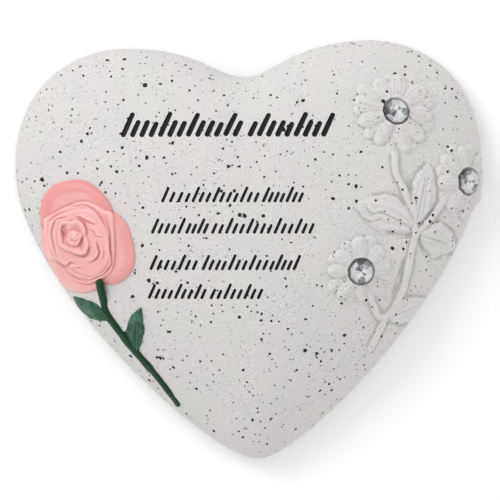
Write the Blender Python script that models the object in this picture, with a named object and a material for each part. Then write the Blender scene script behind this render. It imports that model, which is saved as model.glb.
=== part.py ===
"""A domed memorial heart of cast resin, with a rose, three daisies, set gems and engraved strokes.

It lies on its flat back with its face up. Lengths are in metres, +X runs across the heart,
+Y from its tip to its lobes and +Z out of its face.
"""

import math

import bmesh
import bpy
from mathutils import Matrix, Vector
from mathutils.bvhtree import BVHTree
from mathutils.geometry import interpolate_bezier

# The heart.
heart_width = 0.180
heart_length = 0.160
heart_thickness = 0.040
side_wall = 0.006
foot_round = 0.003

# The gems and the seats that hold them.
gem_diameter = 0.010
gem_height = 0.0036
gem_girdle = 0.0005
gem_middle_share = 0.80
gem_middle_height = 0.0022
gem_table_share = 0.52
gem_clearance = 0.0003
seat_floor = 0.0011
seat_depth = 0.0009
seat_rim = 0.0007

# The daisies and their petals.
upper_daisy_radius = 0.0168
right_daisy_radius = 0.0150
lower_daisy_radius = 0.0138
upper_petal_width = 0.0072
right_petal_width = 0.0068
lower_petal_width = 0.0064
# The petals' heights above the heart's surface.
petal_sink = 0.0010
petal_edge_low = 0.0005
petal_top_low = 0.0016
petal_edge_high = 0.0013
petal_top_high = 0.0025
petal_tip_fall = 0.4
# A petal's root as a share of the gem's radius, and its width there as a share of its own.
petal_root_share = 0.55
petal_root_width = 0.45
petal_tip_width = 1.10
upper_layer_reach = 0.92

# The leaves and stems.
left_leaf_width = 0.0148
upper_leaf_width = 0.0102
right_leaf_width = 0.0132
lower_leaf_width = 0.0092
rose_left_leaf_width = 0.0074
rose_right_leaf_width = 0.0066
leaf_edge = 0.0005
leaf_top = 0.0017
leaf_sink = 0.0010
leaf_end_width = 0.35
stem_diameter = 0.0030
rose_stem_diameter = 0.0028
stem_sink = 0.0002

# The rose, whose petals are drawn as shares of its height.
rose_height = 0.0436
rose_rim = 0.0022
rose_cup = 0.0012
rose_step = 0.0011
rose_sink = 0.0012
rose_cup_share = 0.62
rose_rim_share = 0.97
rose_rim_fall = 0.0008
rose_segments = 16

# The engraved strokes.
title_depth = 0.0007
title_width = 0.0019
title_body = 0.0072
title_pitch = 0.0036
title_sides = 6
line_depth = 0.0005
line_width = 0.0011
line_body = 0.0044
line_pitch = 0.0026
line_sides = 4
stroke_slant = math.radians(24)
row_tilt = math.radians(-2)
# How far a stroke's cutter stands out of the surface, as a share of its depth.
stroke_reach = 4

# The heart's right half, as knots with the handles before and after them. Each is a share of half
# the width and half the length.
heart_knots = (
    ((-0.127, 0.844), (0.0, 0.844), (0.127, 0.844)),
    ((0.200, 1.0), (0.529, 1.0), (0.639, 1.0)),
    ((1.0, 0.928), (1.0, 0.412), (1.0, -0.112)),
    ((0.201, -1.0), (0.0, -1.0), (-0.201, -1.0)),
)
ring_centre = Vector((0.0, 0.125))
inner_radius = 0.85
dome_power = 2.2

# The mesh's fineness.
outline_steps = 10
dome_rings = 10
foot_steps = 2
seat_segments = 16
boss_segments = 12
guide_refinement = 5

# Places on the face are percentages of the heart's width and length from its middle.
# Each daisy is its place, its radius, its number of petals and its petals' width.
daisies = {
    "upper": ((31.6, 32.1), upper_daisy_radius, 9, upper_petal_width),
    "right": ((46.2, 15.1), right_daisy_radius, 8, right_petal_width),
    "lower": ((22.9, -5.5), lower_daisy_radius, 8, lower_petal_width),
}

# Each stem is the places that it passes through.
daisy_stems = (
    ((31.2, 22.1), (31.4, 17.5), (33.2, 12.8), (34.6, 6.7), (35.1, 3.1), (34.2, -1.0),
     (33.2, -5.8), (32.0, -10.6), (30.2, -14.4), (27.9, -17.2)),
    ((41.9, 11.3), (38.5, 6.3), (35.3, 2.6)),
    ((24.7, -11.0), (26.5, -16.4), (27.9, -17.2), (26.6, -20.4), (24.7, -24.3)),
)
rose_stem = (
    (-32.6, -5.0), (-32.0, -10.0), (-31.4, -13.6), (-29.4, -17.1),
    (-26.5, -21.7), (-23.2, -26.3), (-20.2, -30.7), (-16.9, -36.2),
)

# Each leaf is its base, the point that bows its middle line, its tip and its width.
daisy_leaves = (
    ((34.8, 3.8), (27.4, 9.6), (22.0, 9.8), left_leaf_width),
    ((35.4, 5.0), (36.8, 12.6), (38.5, 19.8), upper_leaf_width),
    ((36.0, 2.2), (40.6, 1.2), (43.6, -1.0), right_leaf_width),
    ((28.6, -17.2), (34.6, -15.0), (37.0, -12.8), lower_leaf_width),
)
rose_leaves = (
    ((-30.6, -15.0), (-35.0, -13.2), (-38.4, -9.4), rose_left_leaf_width),
    ((-25.3, -23.2), (-26.0, -17.0), (-23.9, -12.6), rose_right_leaf_width),
)

# The rose's middle, and its petals from the outermost in. Each petal is an ellipse: its middle,
# its half width and half height, all as percentages of the rose's height, its turn in degrees
# and how many steps it stands above the outermost ones.
rose_place = (-37.6, 4.8)
rose_petals = (
    ((2.0, 21.0), (32.0, 30.0), 0, 0.0),
    ((21.0, -8.5), (31.5, 33.5), -12, 0.0),
    ((3.5, -14.0), (31.0, 35.5), 22, 0.0),
    ((3.0, 3.5), (28.5, 28.5), -20, 0.9),
    ((8.0, -5.0), (25.5, 32.5), 8, 1.5),
    ((0.5, 2.5), (20.5, 22.5), 25, 2.1),
    ((11.5, 3.5), (15.5, 20.5), 30, 2.4),
    ((8.0, -8.5), (15.5, 14.5), -25, 2.8),
    ((-2.5, -4.5), (13.5, 17.0), 10, 3.1),
    ((2.5, -2.0), (11.5, 12.5), 40, 3.6),
    ((0.0, 1.0), (7.5, 7.5), 0, 4.2),
)

# The inscription's place. Each row is its strokes' depth, width, body height, pitch and number of
# sides, the place where its base line starts, and its groups as percentages of the width.
title_cut = (title_depth, title_width, title_body, title_pitch, title_sides)
line_cut = (line_depth, line_width, line_body, line_pitch, line_sides)
stroke_rows = (
    (title_cut, (-27.6, 28.5), ((-26.6, -2.8), (0.4, 16.0))),
    (line_cut, (-18.8, 12.5), ((-18.6, -15.2), (-13.6, 1.0), (2.8, 6.5), (7.8, 10.4))),
    (line_cut, (-21.2, 5.1), ((-21.0, -15.4), (-13.7, -10.0), (-8.2, 12.4))),
    (line_cut, (-21.9, -3.6), ((-21.6, -12.6), (-10.5, -7.7), (-6.4, 3.8), (5.0, 8.8))),
    (line_cut, (-22.6, -10.5), ((-22.2, -11.0), (-9.0, 1.0))),
)
# Lengths that the strokes take in turn, as shares of the row's body height.
stroke_lengths = (1.45, 1.0, 1.0, 0.9, 1.5, 1.0, 0.95)


def clear_scene():
    for old in list(bpy.data.objects):
        bpy.data.objects.remove(old, do_unlink=True)


def new_collection(name, helper=False):
    collection = bpy.data.collections.new(name)
    bpy.context.scene.collection.children.link(collection)
    collection.hide_render = helper
    return collection


def new_material(name, colour, roughness, transmission=0.0):
    material = bpy.data.materials.new(name)
    material.use_nodes = True
    shader = material.node_tree.nodes["Principled BSDF"]
    shader.inputs["Base Color"].default_value = (*colour, 1.0)
    shader.inputs["Roughness"].default_value = roughness
    shader.inputs["Transmission Weight"].default_value = transmission
    return material


def add_object(bm, name, collection, helper=False):
    """Makes an object of a bmesh. A helper only shapes another object, so it isn't rendered."""
    bmesh.ops.recalc_face_normals(bm, faces=bm.faces)
    mesh = bpy.data.meshes.new(name)
    bm.to_mesh(mesh)
    bm.free()
    obj = bpy.data.objects.new(name, mesh)
    collection.objects.link(obj)
    if helper:
        obj.hide_render = True
        obj.display_type = "WIRE"
    return obj


def loft(rings, top):
    """A closed body from a top point down through rings of points, flat below."""
    bm = bmesh.new()
    loops = [[bm.verts.new(point) for point in ring] for ring in rings]
    count = len(rings[0])
    for upper, lower in zip(loops, loops[1:]):
        for i in range(count):
            after = (i + 1) % count
            bm.faces.new((upper[i], lower[i], lower[after], upper[after]))
    peak = bm.verts.new(top)
    for i in range(count):
        bm.faces.new((peak, loops[0][i], loops[0][(i + 1) % count]))
    bm.faces.new(reversed(loops[-1]))
    return bm


def outline_shares(steps):
    """The heart's outline from its notch round by the right, as shares of half its size."""
    right = []
    for (_, knot, leave), (arrive, following, _) in zip(heart_knots, heart_knots[1:]):
        ends = [Vector(point).to_3d() for point in (knot, leave, arrive, following)]
        right += [point.to_2d() for point in interpolate_bezier(*ends, steps + 1)[:-1]]
    tip = Vector(heart_knots[-1][1])
    left = [Vector((-point.x, point.y)) for point in reversed(right[1:])]
    return right + [tip] + left


def ring_shares(outline, share):
    """A ring inside the outline. It is the outline's own shape outside and grows round inwards."""
    ring = []
    for point in outline:
        spoke = point - ring_centre
        radius = inner_radius + share**2 * (spoke.length - inner_radius)
        ring.append(ring_centre + spoke.normalized() * radius * share)
    return ring


def heart_point(shares, height):
    return Vector((shares.x * heart_width / 2, shares.y * heart_length / 2, height))


def heart_body(steps, rings):
    """The plain heart: a dome, a low side wall and a rounded foot."""
    outline = outline_shares(steps)
    dome_rise = heart_thickness - side_wall
    levels = []
    for i in range(1, rings + 1):
        share = math.sin(math.pi / 2 * i / rings)
        height = side_wall + dome_rise * math.sqrt(max(0.0, 1 - share**dome_power))
        levels.append([heart_point(p, height) for p in ring_shares(outline, share)])
    for i in range(foot_steps + 1):
        turn = math.pi / 2 * i / foot_steps
        inset = 1 - foot_round * (1 - math.cos(turn)) / (heart_width / 2)
        height = foot_round * (1 - math.sin(turn))
        levels.append([heart_point(p * inset, height) for p in outline])
    return loft(levels, heart_point(ring_centre, heart_thickness))


def guide_surface():
    """A finer copy of the plain heart, which the carving is laid on."""
    bm = heart_body(outline_steps * guide_refinement, dome_rings * guide_refinement)
    bmesh.ops.recalc_face_normals(bm, faces=bm.faces)
    tree = BVHTree.FromBMesh(bm)
    bm.free()
    return tree


def face_place(place):
    """A place on the face in metres, seen from above."""
    return Vector((place[0] / 100 * heart_width, place[1] / 100 * heart_length))


def below(flat):
    """The surface point straight below a flat point, or the nearest one past the outline."""
    start = Vector((flat.x, flat.y, 2 * heart_thickness))
    point, normal, _, _ = surface.ray_cast(start, Vector((0, 0, -1)))
    if point is None:
        point, normal, _, _ = surface.find_nearest(Vector((flat.x, flat.y, side_wall)))
    return point, normal


def frame_on(flat):
    """A frame on the surface below a flat point: X across the face, Y up it and Z outward."""
    point, normal = below(flat)
    across = (Vector((1, 0, 0)) - normal * normal.x).normalized()
    turn = Matrix((across, normal.cross(across), normal)).transposed()
    return Matrix.Translation(point) @ turn.to_4x4()


def lay_on_surface(frame, x, y, height):
    """A point of a flat drawing in a frame, bent down onto the surface and raised off it."""
    point, normal, _, _ = surface.find_nearest(frame @ Vector((x, y, 0)))
    return point + normal * height


def unit_blade(around, along):
    """A sphere of radius 1 with its poles on the X axis."""
    bm = bmesh.new()
    bmesh.ops.create_uvsphere(bm, u_segments=around, v_segments=along, radius=1)
    bmesh.ops.rotate(bm, verts=bm.verts, matrix=Matrix.Rotation(math.pi / 2, 3, "Y"))
    return bm


def blade_form(vert, edge, top, sink):
    """A point's place across the blade and its height: a crowned top, upright sides, a flat base."""
    across, level = vert.co.y, vert.co.z
    if level > -1e-6:
        return across, edge + level * (top - edge)
    if abs(across) > 1e-6:
        across = math.copysign(math.hypot(across, level), across)
    return across, -sink


def daisy_petal(frame, turn, radius, width, edge, top):
    """One petal, narrow and high at the gem's seat, widest and lower near its round end."""
    root = gem_diameter / 2 * petal_root_share
    bm = unit_blade(6, 4)
    for vert in bm.verts:
        share = (vert.co.x + 1) / 2
        along = root + share * (radius - root)
        crown = edge + (top - edge) * (1 - petal_tip_fall * share)
        across, height = blade_form(vert, edge, crown, petal_sink)
        side = across * width / 2 * (petal_root_width * (1 - share) + petal_tip_width * share)
        x = along * math.cos(turn) - side * math.sin(turn)
        y = along * math.sin(turn) + side * math.cos(turn)
        vert.co = lay_on_surface(frame, x, y, height)
    return bm


def seat_radius():
    return gem_diameter / 2 + gem_clearance


def cylinder(frame, radius, low, high, segments):
    """A cylinder standing on a frame between two heights above it."""
    bm = bmesh.new()
    bmesh.ops.create_cone(
        bm, cap_ends=True, segments=segments, radius1=radius, radius2=radius, depth=high - low
    )
    bmesh.ops.transform(
        bm, verts=bm.verts, matrix=frame @ Matrix.Translation((0, 0, (low + high) / 2))
    )
    return bm


def add_daisy(name, place, radius, petals, width):
    """Two layers of petals round a boss, and the cutter of the boss's seat."""
    frame = frame_on(face_place(place))
    pitch = 2 * math.pi / petals
    layers = (
        (0.5, 1.0, petal_edge_low, petal_top_low),
        (0.0, upper_layer_reach, petal_edge_high, petal_top_high),
    )
    for offset, reach, edge, top in layers:
        for i in range(petals):
            turn = (i + offset) * pitch
            blade = daisy_petal(frame, turn, radius * reach, width, edge, top)
            add_object(blade, f"{name}_petal", carving, helper=True)
    boss_top = seat_floor + seat_depth
    boss = cylinder(frame, seat_radius() + seat_rim, -petal_sink, boss_top, boss_segments)
    add_object(boss, f"{name}_boss", carving, helper=True)
    seat_top = seat_floor + 2 * gem_height
    seat = cylinder(frame, seat_radius(), seat_floor, seat_top, seat_segments)
    add_object(seat, f"{name}_seat", cutters, helper=True)


def add_gem(name, place):
    """A flat-backed gem: a girdle, a crown of facets and an eight-sided table."""
    radius = gem_diameter / 2
    rings = (
        (16, 1.0, 0.0, 0.0),
        (16, 1.0, gem_girdle, 0.0),
        (8, gem_middle_share, gem_middle_height, 0.5),
        (8, gem_table_share, gem_height, 0.0),
    )
    bm = bmesh.new()
    for count, share, height, offset in rings:
        for i in range(count):
            turn = 2 * math.pi * (i + offset) / count
            bm.verts.new((radius * share * math.cos(turn), radius * share * math.sin(turn), height))
    bmesh.ops.convex_hull(bm, input=bm.verts)
    gem = add_object(bm, f"gem_{name}", stone_parts)
    lift = Matrix.Translation((0, 0, seat_floor + gem_clearance))
    gem.matrix_world = frame_on(face_place(place)) @ lift
    gem.data.materials.append(new_material(f"gem_{name}_glass", (0.92, 0.93, 0.95), 0.03, 0.6))


def add_stem(name, places, diameter):
    """A round stem half sunk in the surface, drawn as a curve through its places."""
    curve = bpy.data.curves.new(name, "CURVE")
    curve.dimensions = "3D"
    curve.bevel_depth = diameter / 2
    curve.bevel_resolution = 1
    curve.use_fill_caps = True
    curve.resolution_u = 2
    spline = curve.splines.new("BEZIER")
    spline.bezier_points.add(len(places) - 1)
    for knot, place in zip(spline.bezier_points, places):
        knot.co = below(face_place(place))[0] - Vector((0, 0, stem_sink))
        knot.handle_left_type = "AUTO"
        knot.handle_right_type = "AUTO"
    guide = bpy.data.objects.new(f"{name}_curve", curve)
    carving.objects.link(guide)
    bpy.context.view_layer.update()
    evaluated = guide.evaluated_get(bpy.context.evaluated_depsgraph_get())
    bm = bmesh.new()
    mesh = bpy.data.meshes.new_from_object(evaluated)
    bm.from_mesh(mesh)
    bmesh.ops.remove_doubles(bm, verts=bm.verts, dist=1e-6)
    bpy.data.objects.remove(guide, do_unlink=True)
    bpy.data.meshes.remove(mesh)
    add_object(bm, name, carving, helper=True)


def add_leaf(name, base, bow, tip, width):
    """A leaf with pointed ends along a bowed middle line."""
    base, bow, tip = (face_place(place) for place in (base, bow, tip))
    bm = unit_blade(6, 7)
    for vert in bm.verts:
        share = (vert.co.x + 1) / 2
        narrowing = math.sqrt(max(0.0, 1 - vert.co.x**2))
        middle = base * (1 - share) ** 2 + bow * 2 * share * (1 - share) + tip * share**2
        heading = (bow - base) * (1 - share) + (tip - bow) * share
        across, height = blade_form(vert, leaf_edge, leaf_top, leaf_sink)
        side = Vector((-heading.y, heading.x)).normalized() * across * width / 2
        width_share = leaf_end_width + (1 - leaf_end_width) * narrowing
        point = below(middle + side * width_share)[0]
        vert.co = point + Vector((0, 0, height))
    add_object(bm, name, carving, helper=True)


def add_rose():
    """Cupped petals, each higher than the one outside it."""
    middle = face_place(rose_place)
    unit = rose_height / 100
    for place, half, turn, step in rose_petals:
        centre = middle + Vector(place) * unit
        rotation = Matrix.Rotation(math.radians(turn), 2)
        rim = rose_rim + step * rose_step
        levels = (
            (rose_cup_share, rim - rose_cup),
            (rose_rim_share, rim),
            (1.0, rim - rose_rim_fall),
            (1.0, -rose_sink),
        )
        rings = []
        for reach, height in levels:
            ring = []
            for i in range(rose_segments):
                angle = 2 * math.pi * i / rose_segments
                spoke = Vector((half[0] * math.cos(angle), half[1] * math.sin(angle)))
                point = below(centre + rotation @ spoke * unit * reach)[0]
                ring.append(point + Vector((0, 0, height)))
            rings.append(ring)
        peak = below(centre)[0] + Vector((0, 0, rim - rose_cup))
        add_object(loft(rings, peak), "rose_petal", carving, helper=True)


def add_stroke(foot, length, width, depth, sides):
    """The cutter of one slim slanted stroke, pointed at both ends."""
    lean = Matrix.Rotation(row_tilt - stroke_slant, 4, "Z")
    frame = frame_on(foot + (lean @ Vector((0, length / 2, 0))).to_2d())
    size = Matrix.Diagonal((width / 2, length / 2, 1, 1))
    point_up = Matrix.Rotation(math.pi / 2, 4, "Z")
    bm = cylinder(Matrix.Identity(4), 1.0, -depth, stroke_reach * depth, sides)
    bmesh.ops.transform(bm, verts=bm.verts, matrix=frame @ lean @ size @ point_up)
    add_object(bm, "stroke", cutters, helper=True)


def add_strokes():
    """Cutters of slanted strokes in rows, one after another in groups."""
    for (depth, width, body, pitch, sides), start, groups in stroke_rows:
        taken = 0
        for first, last in groups:
            span = (last - first) / 100 * heart_width
            count = max(2, round(span / pitch) + 1)
            for i in range(count):
                length = body * stroke_lengths[taken % len(stroke_lengths)]
                taken += 1
                run = (first - start[0]) / 100 * heart_width + span * i / (count - 1)
                foot = face_place(start) + Vector((run, run * math.tan(row_tilt)))
                add_stroke(foot, length, width, depth, sides)


def add_heart():
    """The casting: the plain heart, joined with its carving and cut by the seats and strokes."""
    heart = add_object(heart_body(outline_steps, dome_rings), "heart_stone", stone_parts)
    join = heart.modifiers.new("carving", "BOOLEAN")
    join.operation = "UNION"
    join.operand_type = "COLLECTION"
    join.collection = carving
    cut = heart.modifiers.new("seats_and_strokes", "BOOLEAN")
    cut.operation = "DIFFERENCE"
    cut.operand_type = "COLLECTION"
    cut.collection = cutters
    heart.data.shade_smooth()
    heart.data.set_sharp_from_angle(angle=math.radians(30))
    heart.data.materials.append(new_material("speckled_resin", (0.72, 0.70, 0.69), 0.6))


clear_scene()
stone_parts = new_collection("memorial_heart_stone")
carving = new_collection("carving", helper=True)
cutters = new_collection("cutters", helper=True)
surface = guide_surface()
for daisy_name, (daisy_place, daisy_radius, petal_count, petal_width) in daisies.items():
    add_daisy(daisy_name, daisy_place, daisy_radius, petal_count, petal_width)
    add_gem(daisy_name, daisy_place)
for stem_places in daisy_stems:
    add_stem("daisy_stem", stem_places, stem_diameter)
add_stem("rose_stem", rose_stem, rose_stem_diameter)
for leaf in daisy_leaves:
    add_leaf("daisy_leaf", *leaf)
for leaf in rose_leaves:
    add_leaf("rose_leaf", *leaf)
add_rose()
add_strokes()
add_heart()
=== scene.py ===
import math

import bmesh
import bpy
import numpy as np
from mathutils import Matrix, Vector
from mathutils.geometry import interpolate_bezier


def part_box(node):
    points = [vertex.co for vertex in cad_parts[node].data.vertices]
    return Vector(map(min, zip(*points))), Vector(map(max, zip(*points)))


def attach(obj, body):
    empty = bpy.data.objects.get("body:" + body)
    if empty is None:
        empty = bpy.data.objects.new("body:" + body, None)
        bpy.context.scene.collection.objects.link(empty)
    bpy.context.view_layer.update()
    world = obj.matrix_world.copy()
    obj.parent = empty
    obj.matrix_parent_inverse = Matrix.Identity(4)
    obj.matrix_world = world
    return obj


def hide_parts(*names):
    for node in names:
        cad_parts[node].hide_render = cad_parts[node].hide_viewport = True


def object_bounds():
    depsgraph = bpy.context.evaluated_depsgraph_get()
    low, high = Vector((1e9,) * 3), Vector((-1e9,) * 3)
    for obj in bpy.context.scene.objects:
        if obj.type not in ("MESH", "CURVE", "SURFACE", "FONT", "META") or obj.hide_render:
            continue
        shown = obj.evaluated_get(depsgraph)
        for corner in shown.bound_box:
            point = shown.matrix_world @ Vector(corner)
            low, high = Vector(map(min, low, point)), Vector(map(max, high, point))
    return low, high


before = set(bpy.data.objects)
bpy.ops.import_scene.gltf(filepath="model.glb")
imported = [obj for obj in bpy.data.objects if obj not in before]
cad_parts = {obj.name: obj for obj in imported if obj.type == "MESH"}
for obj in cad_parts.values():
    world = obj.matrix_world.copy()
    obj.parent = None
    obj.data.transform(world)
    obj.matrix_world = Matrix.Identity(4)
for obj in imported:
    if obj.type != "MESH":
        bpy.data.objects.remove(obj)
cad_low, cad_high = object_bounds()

# The heart, from the frame. Its left side is bare, so that side gives the width.
stone_low, stone_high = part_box("heart_stone")
heart_width = -2 * stone_low.x
heart_length = stone_high.y - stone_low.y
heart_thickness = stone_high.z
side_wall = 0.006
foot_round = 0.003

# The heart's right half, as knots with the handles before and after them, as shares of half the
# width and half the length.
heart_knots = (
    ((-0.127, 0.844), (0.0, 0.844), (0.127, 0.844)),
    ((0.200, 1.0), (0.529, 1.0), (0.639, 1.0)),
    ((1.0, 0.928), (1.0, 0.412), (1.0, -0.112)),
    ((0.201, -1.0), (0.0, -1.0), (-0.201, -1.0)),
)
ring_centre = (0.0, 0.125)
inner_radius = 0.85
dome_power = 2.2

# The gems and their seats.
gem_diameter = 0.010
gem_clearance = 0.0003
seat_floor = 0.0011
seat_depth = 0.0009
seat_rim = 0.0007
# Painted reflections in the foil behind a gem: how bright each sector is, from the right round by
# the top. The foil is a shallow cup: its radius as a share of the gem's, its middle's height, and
# its rings as shares of its radius with their heights.
foil_painted_reflections = (0.85, 0.22, 1.0, 0.85, 0.32, 0.0, 0.70, 1.0)
foil_reach = 0.95
foil_middle = 0.0002
foil_rings = ((0.45, 0.0004), (1.0, 0.0010))

# The heights of a petal's edge and crown, in the lower and the upper layer.
petal_edge_low = 0.0005
petal_top_low = 0.0017
petal_edge_high = 0.0013
petal_top_high = 0.0027
petal_root_share = 0.55
upper_layer_reach = 0.94
# The pleats along a petal: each is its place and its slimness as shares of half the width, and
# its depth.
petal_pleats = ((-0.40, 0.11, 0.00024), (0.36, 0.11, 0.00028), (-0.02, 0.09, 0.00012))
# The daisies: each is its place, its radius, its number of petals and its petals' width. Places on
# the face are percentages of the heart's width and length from its middle.
daisies = {
    "upper": ((31.6, 32.1), 0.0168, 9, 0.0072),
    "right": ((46.2, 15.1), 0.0150, 8, 0.0068),
    "lower": ((22.9, -5.5), 0.0138, 8, 0.0064),
}

stem_diameter = 0.0030
rose_stem_diameter = 0.0028
stem_sink = 0.0002
stem_facet = 0.00006
daisy_stems = (
    ((31.2, 22.1), (31.4, 17.5), (33.2, 12.8), (34.6, 6.7), (35.1, 3.1), (34.2, -1.0),
     (33.2, -5.8), (32.0, -10.6), (30.2, -14.4), (27.9, -17.2)),
    ((41.9, 11.3), (38.5, 6.3), (35.3, 2.6)),
    ((24.7, -11.0), (26.5, -16.4), (27.9, -17.2), (26.6, -20.4), (24.7, -24.3)),
)
rose_stem = (
    (-32.6, -6.2), (-32.0, -10.0), (-31.4, -13.6), (-29.4, -17.1),
    (-26.5, -21.7), (-23.2, -26.3), (-20.2, -30.7), (-16.9, -36.2),
)
# How high the rose's stem climbs where it lies over the rose, and the share of it that does.
stem_climb = 0.0026
stem_climb_share = 0.16

# The leaves' heights at their edges and crowns, their midribs and the streaks along them.
leaf_edge = 0.0005
leaf_top = 0.0017
midrib_depth = 0.00045
midrib_half_width = 0.00038
leaf_streak = 0.00022
daisy_leaf_streaks = (3.6, 3.4, 3.2, 2.6)
rose_leaf_streaks = 1.4
# Each leaf is its base, the point that bows its middle line, its tip and its width.
daisy_leaves = (
    ((34.8, 3.8), (27.4, 9.6), (22.0, 9.8), 0.0148),
    ((35.4, 5.0), (36.8, 12.6), (38.5, 19.8), 0.0102),
    ((36.0, 2.2), (40.6, 1.2), (43.6, -1.0), 0.0132),
    ((28.6, -17.2), (34.6, -15.0), (37.0, -12.8), 0.0092),
)
rose_leaves = (
    ((-30.6, -15.0), (-34.8, -13.2), (-38.4, -9.4), 0.0056),
    ((-25.3, -23.2), (-26.0, -17.0), (-23.9, -12.6), 0.0066),
)

# The ground between the white leaves swells a little, and channels beside the stems cut into it.
ground_swell = 0.0010
ground_reach = 0.0085
channel_depth = 0.0008
channel_half_width = 0.0013
channels = (
    ((34.0, 15.9), (34.4, 13.5), (34.9, 11.1), (35.5, 9.1)),
    ((32.6, -3.4), (31.8, -6.2), (30.9, -8.8), (29.7, -11.9)),
    ((39.9, 8.7), (38.4, 7.4), (37.0, 5.9), (36.0, 4.5)),
    ((36.2, 1.2), (36.8, -0.8), (37.4, -2.8), (37.9, -4.4)),
    ((28.4, 3.4), (30.6, 2.7), (32.8, 2.6), (34.2, 2.9)),
)
# The curled folds at the left leaf's end: how deep their creases are and how high their rims.
leaf_fold_crease = 0.00045
leaf_fold_rim = 0.00035
leaf_folds = (
    ((22.9, 9.3), (23.5, 7.5), (24.9, 6.3), (26.3, 6.1), (27.8, 6.8)),
    ((24.6, 10.4), (25.2, 8.8), (26.6, 8.0), (28.4, 8.3)),
)

# The rose's size and place, how high its outermost rims and each step above them stand, and how
# far an inner petal drops to its edge.
rose_height = 0.0436
rose_rim = 0.0022
rose_step = 0.0011
rose_inner_drop = 0.0017
rose_place = (-37.6, 4.8)
# The rose's petals from the outermost in. Each is how many steps it stands above the outermost
# ones, how broadly its rim is rounded, how deep it is cupped, and its outline. The outline is in
# percentages of the rose's height from its middle.
rose_petals = (
    (0.0, 0.0046, 0.0004, (
        (-29, 10), (-30, 19), (-29, 30), (-25, 39), (-17, 47), (-6, 50), (5, 51), (15, 48),
        (23, 42), (30, 34), (34, 27), (35, 20), (28, 8), (6, 2), (-17, 3))),
    (0.05, 0.0046, 0.0004, (
        (35, 21), (42, 17), (48, 9), (51, -2), (53, -12), (53, -22), (50, -31), (44, -38),
        (36, -42), (27, -42), (13, -34), (12, -3), (22, 17))),
    (0.15, 0.0040, 0.0003, (
        (-29, 8), (-30, 0), (-29, -10), (-25, -20), (-21, -29), (-16, -37), (-10, -44),
        (-2, -48), (8, -49), (17, -47), (25, -41), (30, -27), (14, -3), (-15, 7))),
    (0.9, 0.0017, 0.0004, (
        (-26, 18), (-17, 23), (-4, 29), (10, 32), (20, 29), (28, 24), (35, 20), (36, 8),
        (36, -8), (35, -22), (32, -31), (25, -37), (14, -40), (3, -37), (-6, -31), (-14, -22),
        (-24, -18), (-26, -9), (-27, 3), (-27, 13))),
    (1.8, 0.0016, -0.0003, (
        (7, 26), (15, 25), (21, 21), (26, 13), (30, 4), (31, -7), (31, -18), (28, -26),
        (22, -32), (14, -35), (5, -33), (-3, -28), (-12, -22), (-19, -16), (-23, -6), (-24, 6),
        (-21, 16), (-12, 22), (-2, 25))),
    (2.8, 0.0011, 0.0019, (
        (-11, 15), (-3, 15), (3, 16), (8, 13), (11, 7), (11, 2), (13, -4), (13, -9), (10, -14),
        (6, -16), (1, -15), (-4, -13), (-9, -11), (-14, -7), (-15, -1), (-15, 5), (-14, 11))),
    (3.0, 0.0010, 0.0006, (
        (-6, 4), (-4, 6), (0, 7), (5, 5), (7, 2), (6, -3), (3, -7), (-2, -8), (-6, -5), (-7, -1))),
    (3.5, 0.0007, 0.0, ((-3, 3), (0, 5), (3, 3), (4, -1), (1, -3), (-3, -1))),
    (3.3, 0.0007, 0.0, ((-4, -3), (0, -2), (1, -5), (-2, -7))),
)
# The folds that fade out at both ends: each is how far it rises, how far the crease beside it
# drops, and its path in the same units. The raised side is on the path's right.
rose_folds = (
    (0.0005, 0.0008, ((-24, 14), (-20, 16), (-16, 19), (-10, 21), (-4, 22))),
    (0.0008, 0.0014, (
        (-12, -18), (-15, -16), (-17, -11), (-18, -5), (-19, 1), (-19, 6), (-17, 12), (-15, 16),
        (-10, 17), (-4, 18))),
    (0.0007, 0.0010, ((20, 11), (15, 13), (11, 15), (6, 18), (2, 19))),
    (0.0006, 0.0011, ((19, -3), (20, -9), (21, -14), (19, -18), (15, -21), (11, -22))),
    (0.0004, 0.0008, ((31, -30), (28, -33), (22, -37), (16, -40), (10, -41), (2, -39), (-3, -36))),
    (0.0006, 0.0011, ((1, -23), (-4, -21), (-8, -24), (-12, -23), (-17, -20))),
    (0.0003, 0.0006, ((7, -26), (1, -26), (-4, -26))),
    (0.0004, 0.0006, ((26, 0), (20, 1), (18, 5), (13, 8))),
    (0.0003, 0.0005, ((25, -9), (25, -16), (23, -21))),
    (0.0005, 0.0009, ((-7, 26), (-3, 28), (2, 27), (8, 28), (12, 27), (16, 25), (20, 22))),
    (0.0004, 0.0011, (
        (26, 18), (29, 12), (31, 4), (31, -3), (31, -12), (32, -20), (31, -25), (28, -29),
        (24, -33), (19, -35), (13, -37), (8, -36), (2, -35), (-3, -31))),
    (0.0006, 0.0012, ((12, -8), (12, -11), (10, -15), (6, -16), (2, -15), (-2, -14))),
    (0.0004, 0.0008, ((4, 16), (8, 13), (10, 9), (11, 4), (10, 1))),
    (0.0004, 0.0009, ((-8, -7), (-9, -2), (-8, 3), (-10, 7), (-8, 10), (-3, 11))),
    (0.0004, 0.0012, ((7, 4), (8, 2), (6, -2), (4, -6), (2, -8))),
)
# How far a fold's crest and its crease fade, and how softly one turns into the other.
fold_crest = 0.0016
fold_crease = 0.0008
fold_softness = 0.00036
# The hollow behind the bud: its place in the same units, its depth, and how wide and high it is.
rose_hollow = (-8.5, 5.5)
hollow_depth = 0.0014
hollow_width = 0.0014
hollow_height = 0.0026
# Painted shade on the outer petals' rims, a deeper pink, is full up to the first distance from the
# edge, gone at the second.
rim_shade_band = (0.0030, 0.0062)

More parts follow.
